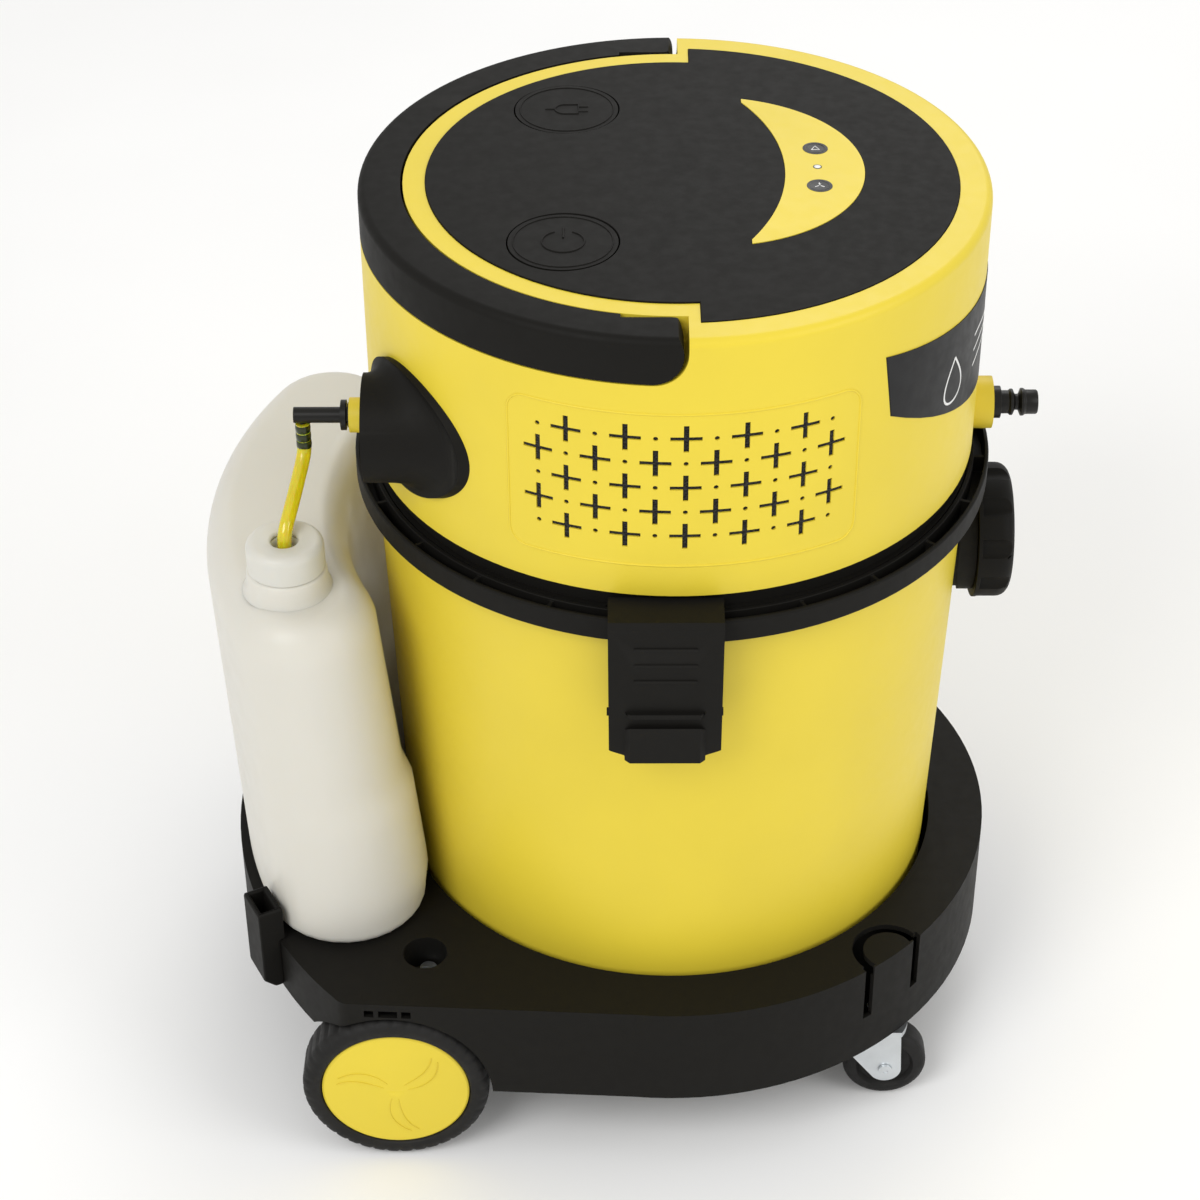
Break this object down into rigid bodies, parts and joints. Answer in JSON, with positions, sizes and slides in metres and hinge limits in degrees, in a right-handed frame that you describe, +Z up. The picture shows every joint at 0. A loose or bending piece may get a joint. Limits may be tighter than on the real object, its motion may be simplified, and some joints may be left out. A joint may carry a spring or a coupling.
{
  "type": "spot extractor",
  "caption": "Wheeled spot extractor: round yellow suction head latched on a drum, black base with casters, and a translucent crescent solution tank.",
  "frame": {"origin": "on the floor, under the middle of the machine's box", "axes": "+X to the front, where the hoses connect; -X to the solution tank and the large wheels; +Z up"},
  "size_m": [0.518, 0.428, 0.611],
  "materials": {
    "yellow_plastic": "moulded polypropylene, fine texture, satin",
    "black_plastic": "moulded polypropylene with a fine grain",
    "black_nylon": "smooth moulded nylon",
    "tyre_rubber": "soft wheel tread",
    "seal_rubber": "soft seal",
    "zinc_steel": "zinc plated steel",
    "tank_plastic": "translucent natural polyethylene",
    "clear_tube": "transparent yellow hose",
    "hose_plastic": "natural plastic",
    "badge_film": "printed film",
    "indicator_gloss": "glossy window",
    "foam": "open cell foam",
    "grey_plastic": "glass filled nylon",
    "circuit_board": "circuit board",
    "copper_winding": "enamelled copper windings",
    "rotor_steel": "laminated steel and aluminium",
    "float_plastic": "hollow float"
  },
  "bodies": {
    "root": {"dolly_base": "black_plastic", "tool_holders": "black_plastic", "base_fasteners": "zinc_steel", "rear_axle": "zinc_steel", "caster_plates": "zinc_steel", "drum": "yellow_plastic", "rim_ring": "black_plastic", "latch_bases": "black_plastic", "latch_pins": "black_plastic", "inlet_spigot": "black_plastic", "inlet_gasket": "seal_rubber", "tank_body": "tank_plastic", "suction_tube": "clear_tube", "tube_filter": "hose_plastic"},
    "wheel_right": {"tyre_right": "tyre_rubber", "rim_right": "black_plastic", "hub_cap_right": "yellow_plastic"},
    "wheel_left": {"tyre_left": "tyre_rubber", "rim_left": "black_plastic", "hub_cap_left": "yellow_plastic"},
    "swivel_right": {"caster_fork_right": "zinc_steel", "caster_axle_right": "zinc_steel"},
    "roller_right": {"caster_wheel_right": "tyre_rubber"},
    "swivel_left": {"caster_fork_left": "zinc_steel", "caster_axle_left": "zinc_steel"},
    "roller_left": {"caster_wheel_left": "tyre_rubber"},
    "clamp_right": {"latch_right": "black_plastic"},
    "clamp_left": {"latch_left": "black_plastic"},
    "inlet_lock": {"inlet_ring": "black_plastic"},
    "cap_lift": {"cap_seal": "seal_rubber"},
    "cap_turn": {"tank_cap": "tank_plastic"},
    "head": {"head_shell": "yellow_plastic", "head_base": "black_plastic", "head_seal": "seal_rubber", "head_screws": "zinc_steel", "top_cover": "black_plastic", "crescent_panel": "yellow_plastic", "indicators": "indicator_gloss", "badge": "badge_film", "exhaust_spigot": "black_plastic", "vent_foam": "foam", "outlet_coupler": "black_nylon", "coupler_seal": "seal_rubber", "elbow_barb": "black_nylon", "pump_hoses": "hose_plastic", "handle_pins": "zinc_steel", "spring_power": "zinc_steel", "spring_pump": "zinc_steel", "switch_bracket": "grey_plastic", "control_board": "circuit_board", "motor_housing": "grey_plastic", "motor_stator": "copper_winding", "pump_body": "grey_plastic", "float_cage": "hose_plastic"},
    "carry_handle": {"handle": "black_plastic"},
    "power_button": {"button_power": "black_plastic"},
    "pump_button": {"button_pump": "black_plastic"},
    "rotor": {"motor_rotor": "rotor_steel"},
    "plunger": {"pump_plunger": "zinc_steel"},
    "float": {"float_ball": "float_plastic"}
  },
  "joints": [
    {"name": "rear_wheel_right_spin", "type": "hinge", "parent": "root", "child": "wheel_right", "pos_m": [-0.1425, -0.191, 0.06], "axis": [0, 1, 0], "continuous": true},
    {"name": "rear_wheel_left_spin", "type": "hinge", "parent": "root", "child": "wheel_left", "pos_m": [-0.1425, 0.191, 0.06], "axis": [0, 1, 0], "continuous": true},
    {"name": "caster_right_swivel", "type": "hinge", "parent": "root", "child": "swivel_right", "pos_m": [0.16631, -0.14188, 0.058], "axis": [0, 0, 1], "continuous": true},
    {"name": "caster_right_roll", "type": "hinge", "parent": "swivel_right", "child": "roller_right", "pos_m": [0.17681, -0.14188, 0.0275], "axis": [0, 1, 0], "continuous": true},
    {"name": "caster_left_swivel", "type": "hinge", "parent": "root", "child": "swivel_left", "pos_m": [0.16631, 0.14188, 0.058], "axis": [0, 0, 1], "continuous": true},
    {"name": "caster_left_roll", "type": "hinge", "parent": "swivel_left", "child": "roller_left", "pos_m": [0.17658, 0.14407, 0.0275], "axis": [-0.2079, 0.9781, 0], "continuous": true},
    {"name": "latch_right_open", "type": "hinge", "parent": "root", "child": "clamp_right", "pos_m": [0.0276, -0.196, 0.365], "axis": [1, 0, 0], "range_deg": [0, 20]},
    {"name": "latch_left_open", "type": "hinge", "parent": "root", "child": "clamp_left", "pos_m": [0.0276, 0.196, 0.365], "axis": [-1, 0, 0], "range_deg": [0, 20]},
    {"name": "inlet_ring_turn", "type": "hinge", "parent": "root", "child": "inlet_lock", "pos_m": [0.234, 0, 0.355], "axis": [1, 0, 0], "range_deg": [0, 60]},
    {"name": "tank_cap_rise", "type": "slide", "parent": "root", "child": "cap_lift", "axis": [0, 0, 1], "range_m": [0, 0.004]},
    {"name": "tank_cap_turn", "type": "hinge", "parent": "cap_lift", "child": "cap_turn", "pos_m": [-0.198, -0.102, 0.41], "axis": [0, 0, 1], "range_deg": [0, 360]},
    {"name": "head_lift_off", "type": "slide", "parent": "root", "child": "head", "axis": [0, 0, 1], "range_m": [0, 0.25]},
    {"name": "handle_raise", "type": "hinge", "parent": "head", "child": "carry_handle", "pos_m": [0.018, 0, 0.599], "axis": [0, 1, 0], "range_deg": [0, 95]},
    {"name": "power_button_press", "type": "slide", "parent": "head", "child": "power_button", "axis": [0, 0, -1], "range_m": [0, 0.003], "stiffness_N_per_m": 400, "springref_m": -0.003, "deforming": ["spring_power"]},
    {"name": "pump_button_press", "type": "slide", "parent": "head", "child": "pump_button", "axis": [0, 0, -1], "range_m": [0, 0.003], "stiffness_N_per_m": 400, "springref_m": -0.003, "deforming": ["spring_pump"]},
    {"name": "motor_spin", "type": "hinge", "parent": "head", "child": "rotor", "pos_m": [0.034, 0, 0.5], "axis": [0, 0, 1], "continuous": true},
    {"name": "pump_stroke", "type": "slide", "parent": "head", "child": "plunger", "axis": [1, 0, 0], "range_m": [-0.002, 0.004]},
    {"name": "float_rise", "type": "slide", "parent": "head", "child": "float", "axis": [0, 0, 1], "range_m": [0, 0.03]}
  ],
  "couplings": [
    {"joint": "tank_cap_rise", "follows": "tank_cap_turn", "m_per_rad": 0.000636}
  ]
}
